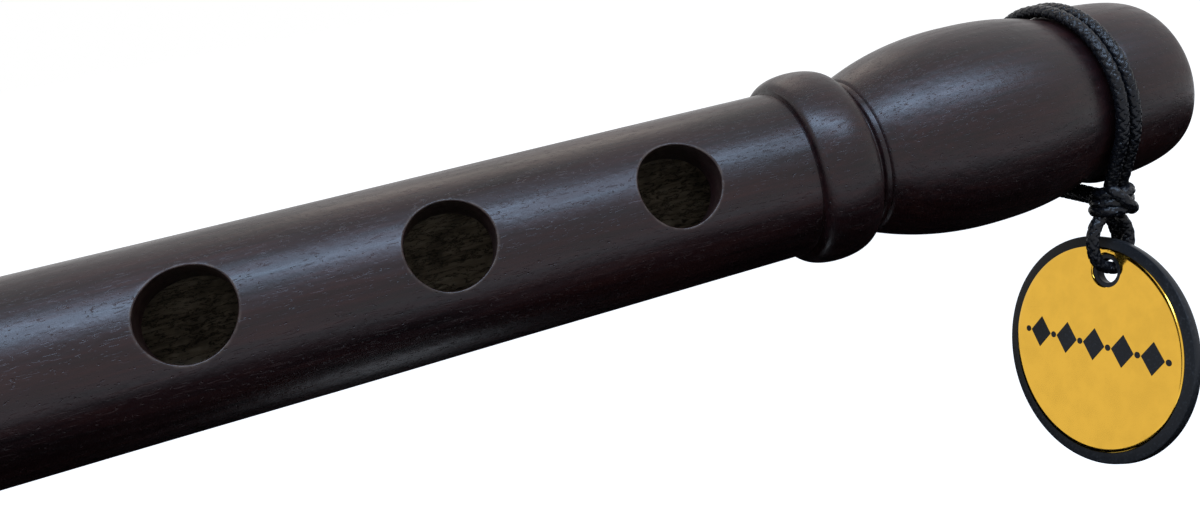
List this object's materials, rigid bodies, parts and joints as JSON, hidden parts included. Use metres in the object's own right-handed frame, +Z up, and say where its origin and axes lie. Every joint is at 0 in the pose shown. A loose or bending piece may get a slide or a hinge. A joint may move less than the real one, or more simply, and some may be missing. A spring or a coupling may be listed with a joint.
{
  "type": "wooden flute",
  "caption": "Turned dark wooden reed pipe with a bead, barrel and lip at its head, finger holes, and a round gold tag hanging on a knotted black cord.",
  "frame": {"origin": "on the axis of the tube where the hands hold it, 110 mm from the tube's end at the bead", "axes": "+X along the tube towards its head, +Z up, finger holes towards -Y and 27 degrees up"},
  "size_m": [0.3349, 0.0373, 0.0606],
  "materials": {
    "dark_stained_wood": "satin, stained almost black, fine open pores",
    "black_waxed_cord": "waxed braid, slightly glossy",
    "gilt_laminate": "mirror-like gold face over a black core that shows at the rim and round the hole"
  },
  "bodies": {
    "flute": {"wooden_body": "dark_stained_wood"},
    "neck_loop": {"neck_strand_left": "black_waxed_cord", "neck_strand_right": "black_waxed_cord"},
    "knot": {"cord_knot": "black_waxed_cord"},
    "hanging_loop": {"tag_loop": "black_waxed_cord", "cord_tail": "black_waxed_cord"},
    "hang_tag": {"tag": "gilt_laminate"}
  },
  "joints": [
    {"name": "neck_loop_turn", "type": "hinge", "parent": "flute", "child": "neck_loop", "pos_m": [0.15325, 0, 0], "axis": [1, 0, 0], "continuous": true},
    {"name": "knot_swing", "type": "hinge", "parent": "neck_loop", "child": "knot", "pos_m": [0.15325, -0.00756, -0.01121], "axis": [0, -0.829, 0.5592], "range_deg": [-15, 15]},
    {"name": "loop_twist", "type": "hinge", "parent": "knot", "child": "hanging_loop", "pos_m": [0.15325, -0.00863, -0.01279], "axis": [0.2181, 0, 0.9759], "range_deg": [-90, 90]},
    {"name": "tag_swing", "type": "hinge", "parent": "hanging_loop", "child": "hang_tag", "pos_m": [0.15113, -0.00863, -0.02225], "axis": [-0.9442, -0.0523, 0.3251], "range_deg": [-30, 30]}
  ]
}
